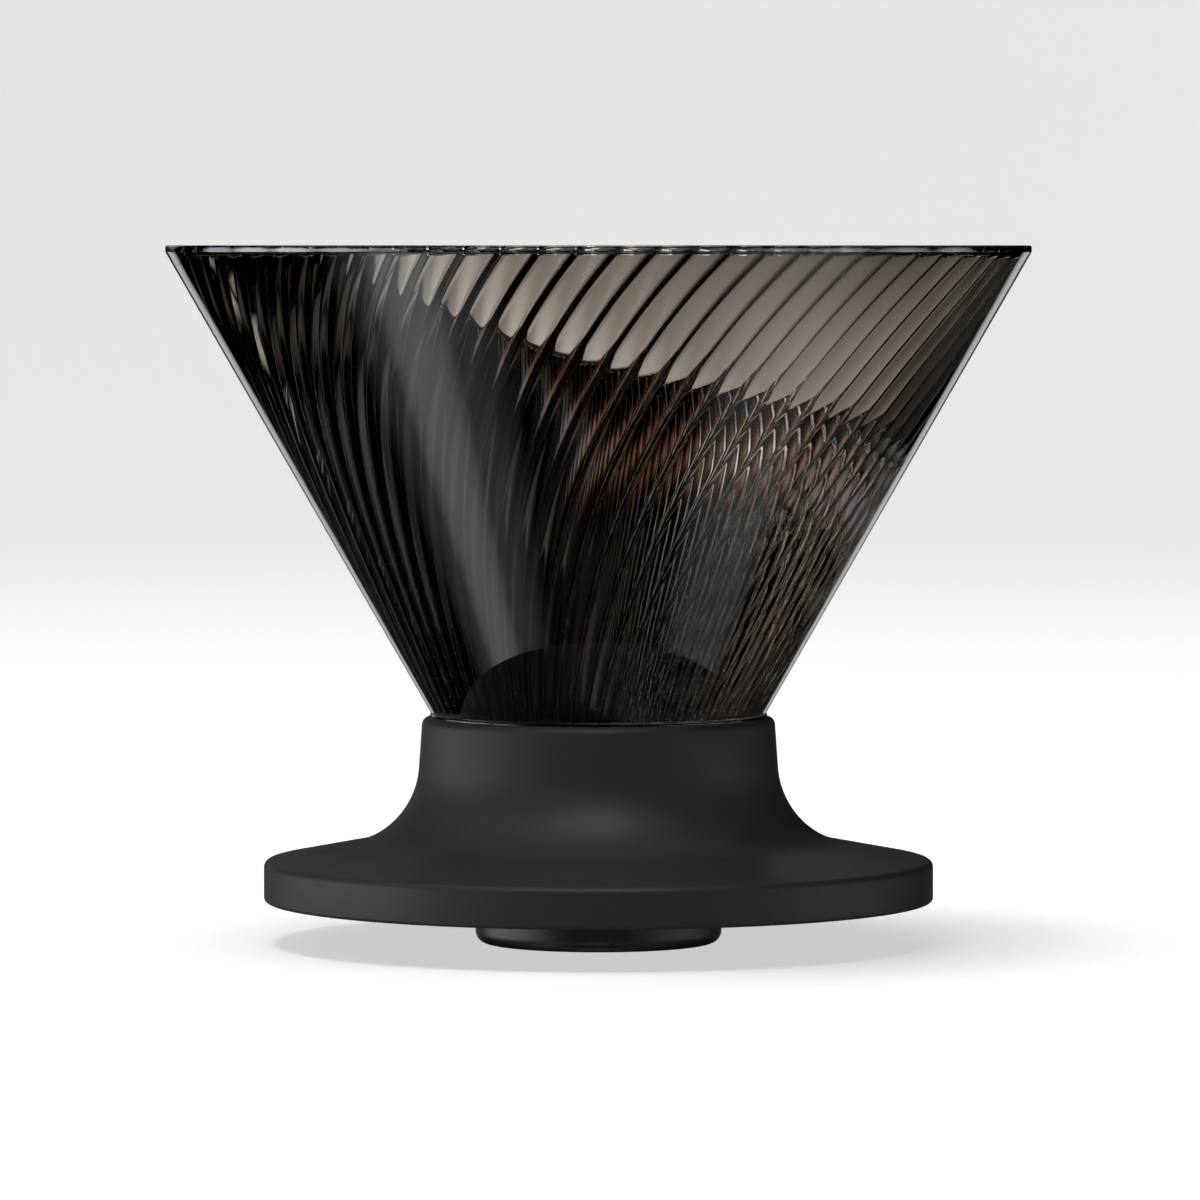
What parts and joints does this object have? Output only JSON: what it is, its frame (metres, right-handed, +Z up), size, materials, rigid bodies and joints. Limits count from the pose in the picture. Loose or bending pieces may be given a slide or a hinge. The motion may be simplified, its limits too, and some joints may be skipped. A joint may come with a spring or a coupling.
{
  "type": "pour over dripper",
  "caption": "Smoked clear coffee dripper cone with fine spiral ribs, screwed into a flared matt base with a centring spigot for a server or mug.",
  "frame": {"origin": "centre of the dripper's foot, on the bottom face of the centring spigot", "axes": "+Z up along the cone's axis; +X to the right and +Y away from someone who stands in front"},
  "size_m": [0.116, 0.116, 0.0937],
  "materials": {
    "smoked_clear": "gloss",
    "matt_base": "soft-touch matt",
    "rigid_black": "satin",
    "silicone": "matt"
  },
  "bodies": {
    "base": {"base_skirt": "matt_base", "threaded_socket": "rigid_black", "base_plate": "rigid_black", "grip_ring": "silicone", "centring_spigot": "rigid_black"},
    "lifting_gasket": {"cone_gasket": "silicone"},
    "cone": {"cone": "smoked_clear"}
  },
  "joints": [
    {"name": "cone_lift", "type": "slide", "parent": "base", "child": "lifting_gasket", "axis": [0, 0, 1], "range_m": [0, 0.03]},
    {"name": "cone_twist", "type": "hinge", "parent": "lifting_gasket", "child": "cone", "pos_m": [0, 0, 0.02], "axis": [0, 0, 1], "range_deg": [0, 450]}
  ],
  "couplings": [
    {"joint": "cone_lift", "follows": "cone_twist", "m_per_rad": 0.0038197}
  ]
}
